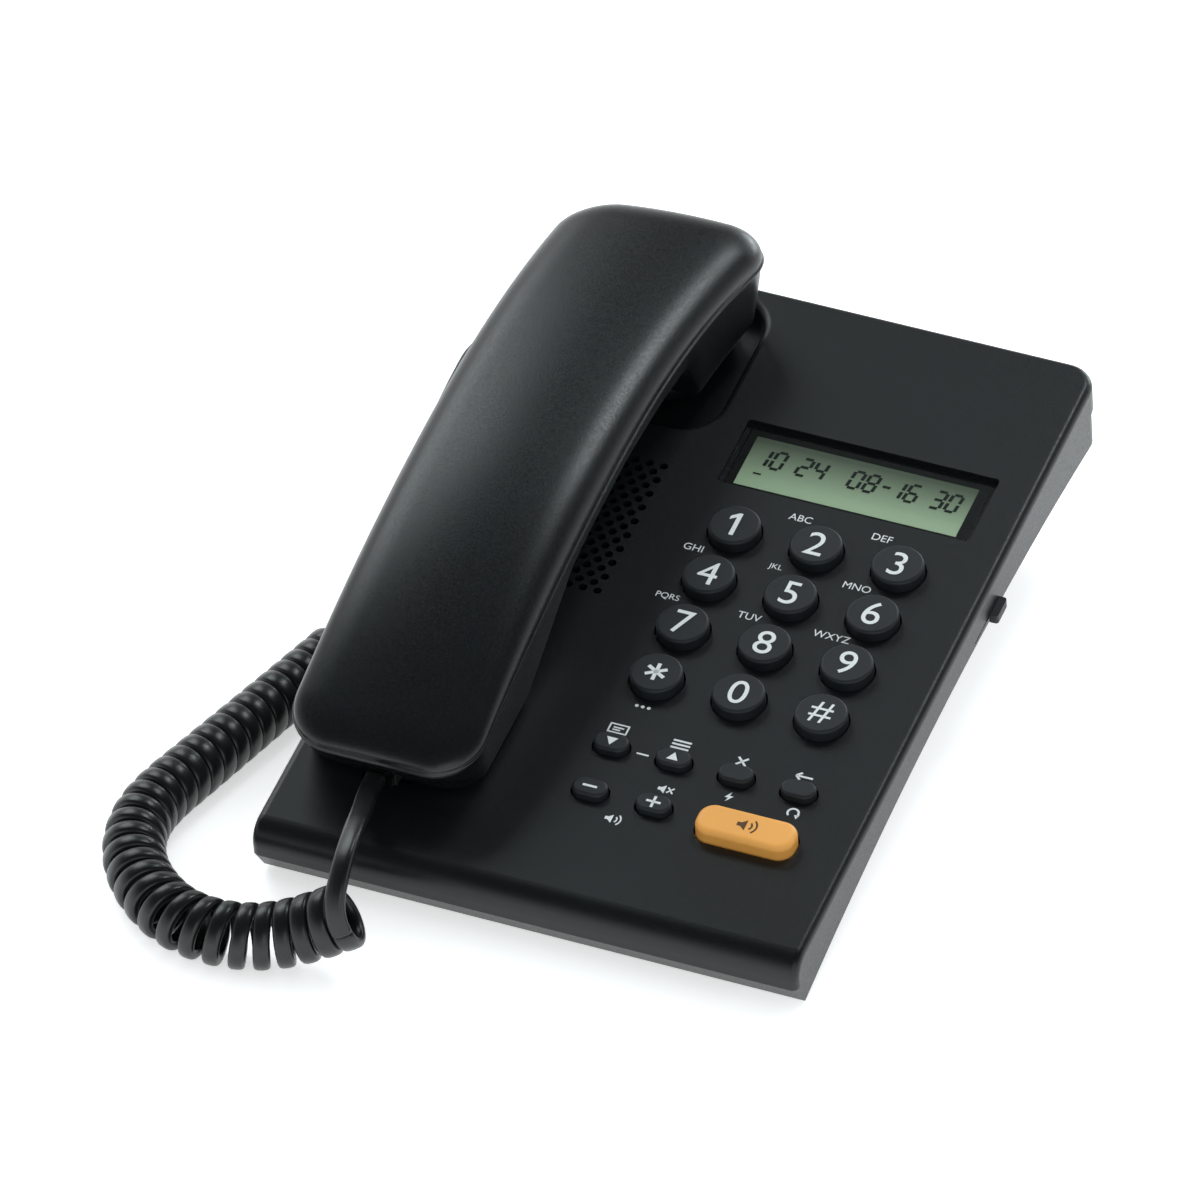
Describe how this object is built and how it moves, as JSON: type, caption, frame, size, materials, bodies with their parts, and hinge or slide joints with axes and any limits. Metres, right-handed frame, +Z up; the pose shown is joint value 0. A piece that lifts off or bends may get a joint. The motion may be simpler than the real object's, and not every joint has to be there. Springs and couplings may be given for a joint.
{
  "type": "corded desk telephone",
  "caption": "Black corded desk telephone: sloping base with round dial keys, display, speaker grille and orange speakerphone key, lift-off handset and curly cord.",
  "frame": {"origin": "on the table under the middle of the phone's box, measured without the cord", "axes": "+X to the phone's right, +Y to its back, +Z up; the user sits on the -Y side"},
  "size_m": [0.1865, 0.2563, 0.0797],
  "materials": {
    "cabinet": "satin",
    "key_black": "satin",
    "key_orange": "satin",
    "screw_steel": "plated",
    "foot_rubber": "matte",
    "mat_rubber": "matte",
    "clear_window": "clear",
    "display_glass": "satin",
    "inner_white": "matte",
    "board_green": "satin",
    "speaker_frame": "satin",
    "speaker_paper": "matte",
    "capsule": "satin",
    "capsule_plastic": "matte",
    "ballast_iron": "raw",
    "jack_plastic": "satin",
    "plug_clear": "clear",
    "cord_black": "satin"
  },
  "bodies": {
    "base": {"upper_cabinet": "cabinet", "lower_cabinet": "cabinet", "desk_stand": "cabinet", "cabinet_screws": "screw_steel", "rubber_feet": "foot_rubber", "keypad_mat": "mat_rubber", "display_window": "clear_window", "display_glass": "display_glass", "display_holder": "inner_white", "main_board": "board_green", "hook_switch": "inner_white", "ringer_switch": "inner_white", "loudspeaker": "speaker_frame", "speaker_cone": "speaker_paper", "handsfree_microphone": "capsule", "line_jack": "jack_plastic", "handset_jack": "jack_plastic", "plug_base_end": "plug_clear", "curly_cord": "cord_black", "cord_tail": "cord_black", "handset_lead": "cord_black"},
    "handset": {"handset_top_shell": "cabinet", "handset_lower_shell": "cabinet", "handset_screws": "screw_steel", "receiver_capsule": "capsule_plastic", "mouthpiece_microphone": "capsule", "handset_weight": "ballast_iron", "handset_cord_jack": "jack_plastic", "plug_handset_end": "plug_clear"},
    "body_key_1": {"key_1": "key_black"},
    "body_key_2": {"key_2": "key_black"},
    "body_key_3": {"key_3": "key_black"},
    "body_key_4": {"key_4": "key_black"},
    "body_key_5": {"key_5": "key_black"},
    "body_key_6": {"key_6": "key_black"},
    "body_key_7": {"key_7": "key_black"},
    "body_key_8": {"key_8": "key_black"},
    "body_key_9": {"key_9": "key_black"},
    "body_key_star": {"key_star": "key_black"},
    "body_key_0": {"key_0": "key_black"},
    "body_key_hash": {"key_hash": "key_black"},
    "body_scroll_down_key": {"scroll_down_key": "key_black"},
    "body_scroll_up_key": {"scroll_up_key": "key_black"},
    "body_flash_key": {"flash_key": "key_black"},
    "body_redial_key": {"redial_key": "key_black"},
    "body_volume_down_key": {"volume_down_key": "key_black"},
    "body_volume_up_key": {"volume_up_key": "key_black"},
    "body_speakerphone_key": {"speakerphone_key": "key_orange"},
    "body_hook_plunger": {"hook_plunger": "key_black"},
    "body_ringer_knob": {"ringer_knob": "key_black"}
  },
  "joints": [
    {"name": "key_1_press", "type": "slide", "parent": "base", "child": "body_key_1", "axis": [0, -0.1616, 0.9869], "range_m": [-0.0016, 0], "stiffness_N_per_m": 500, "deforming": ["keypad_mat"]},
    {"name": "key_2_press", "type": "slide", "parent": "base", "child": "body_key_2", "axis": [0, -0.1616, 0.9869], "range_m": [-0.0016, 0], "stiffness_N_per_m": 500, "deforming": ["keypad_mat"]},
    {"name": "key_3_press", "type": "slide", "parent": "base", "child": "body_key_3", "axis": [0, -0.1616, 0.9869], "range_m": [-0.0016, 0], "stiffness_N_per_m": 500, "deforming": ["keypad_mat"]},
    {"name": "key_4_press", "type": "slide", "parent": "base", "child": "body_key_4", "axis": [0, -0.1616, 0.9869], "range_m": [-0.0016, 0], "stiffness_N_per_m": 500, "deforming": ["keypad_mat"]},
    {"name": "key_5_press", "type": "slide", "parent": "base", "child": "body_key_5", "axis": [0, -0.1616, 0.9869], "range_m": [-0.0016, 0], "stiffness_N_per_m": 500, "deforming": ["keypad_mat"]},
    {"name": "key_6_press", "type": "slide", "parent": "base", "child": "body_key_6", "axis": [0, -0.1616, 0.9869], "range_m": [-0.0016, 0], "stiffness_N_per_m": 500, "deforming": ["keypad_mat"]},
    {"name": "key_7_press", "type": "slide", "parent": "base", "child": "body_key_7", "axis": [0, -0.1616, 0.9869], "range_m": [-0.0016, 0], "stiffness_N_per_m": 500, "deforming": ["keypad_mat"]},
    {"name": "key_8_press", "type": "slide", "parent": "base", "child": "body_key_8", "axis": [0, -0.1616, 0.9869], "range_m": [-0.0016, 0], "stiffness_N_per_m": 500, "deforming": ["keypad_mat"]},
    {"name": "key_9_press", "type": "slide", "parent": "base", "child": "body_key_9", "axis": [0, -0.1616, 0.9869], "range_m": [-0.0016, 0], "stiffness_N_per_m": 500, "deforming": ["keypad_mat"]},
    {"name": "key_star_press", "type": "slide", "parent": "base", "child": "body_key_star", "axis": [0, -0.1616, 0.9869], "range_m": [-0.0016, 0], "stiffness_N_per_m": 500, "deforming": ["keypad_mat"]},
    {"name": "key_0_press", "type": "slide", "parent": "base", "child": "body_key_0", "axis": [0, -0.1616, 0.9869], "range_m": [-0.0016, 0], "stiffness_N_per_m": 500, "deforming": ["keypad_mat"]},
    {"name": "key_hash_press", "type": "slide", "parent": "base", "child": "body_key_hash", "axis": [0, -0.1616, 0.9869], "range_m": [-0.0016, 0], "stiffness_N_per_m": 500, "deforming": ["keypad_mat"]},
    {"name": "scroll_down_key_press", "type": "slide", "parent": "base", "child": "body_scroll_down_key", "axis": [0, -0.1616, 0.9869], "range_m": [-0.0016, 0], "stiffness_N_per_m": 500, "deforming": ["keypad_mat"]},
    {"name": "scroll_up_key_press", "type": "slide", "parent": "base", "child": "body_scroll_up_key", "axis": [0, -0.1616, 0.9869], "range_m": [-0.0016, 0], "stiffness_N_per_m": 500, "deforming": ["keypad_mat"]},
    {"name": "flash_key_press", "type": "slide", "parent": "base", "child": "body_flash_key", "axis": [0, -0.1616, 0.9869], "range_m": [-0.0016, 0], "stiffness_N_per_m": 500, "deforming": ["keypad_mat"]},
    {"name": "redial_key_press", "type": "slide", "parent": "base", "child": "body_redial_key", "axis": [0, -0.1616, 0.9869], "range_m": [-0.0016, 0], "stiffness_N_per_m": 500, "deforming": ["keypad_mat"]},
    {"name": "volume_down_key_press", "type": "slide", "parent": "base", "child": "body_volume_down_key", "axis": [0, -0.1616, 0.9869], "range_m": [-0.0016, 0], "stiffness_N_per_m": 500, "deforming": ["keypad_mat"]},
    {"name": "volume_up_key_press", "type": "slide", "parent": "base", "child": "body_volume_up_key", "axis": [0, -0.1616, 0.9869], "range_m": [-0.0016, 0], "stiffness_N_per_m": 500, "deforming": ["keypad_mat"]},
    {"name": "speakerphone_key_press", "type": "slide", "parent": "base", "child": "body_speakerphone_key", "axis": [0, -0.1616, 0.9869], "range_m": [-0.0016, 0], "stiffness_N_per_m": 500, "deforming": ["keypad_mat"]},
    {"name": "handset_lift", "type": "slide", "parent": "base", "child": "handset", "axis": [0, 0, 1], "range_m": [0, 0.15], "deforming": ["handset_lead"]},
    {"name": "hook_rise", "type": "slide", "parent": "base", "child": "body_hook_plunger", "axis": [0, -0.1616, 0.9869], "range_m": [0, 0.003]},
    {"name": "ringer_slide", "type": "slide", "parent": "base", "child": "body_ringer_knob", "axis": [0, 0.9869, 0.1616], "range_m": [-0.01, 0]}
  ],
  "couplings": [
    {"joint": "hook_rise", "follows": "handset_lift", "ratio": 0.02}
  ]
}
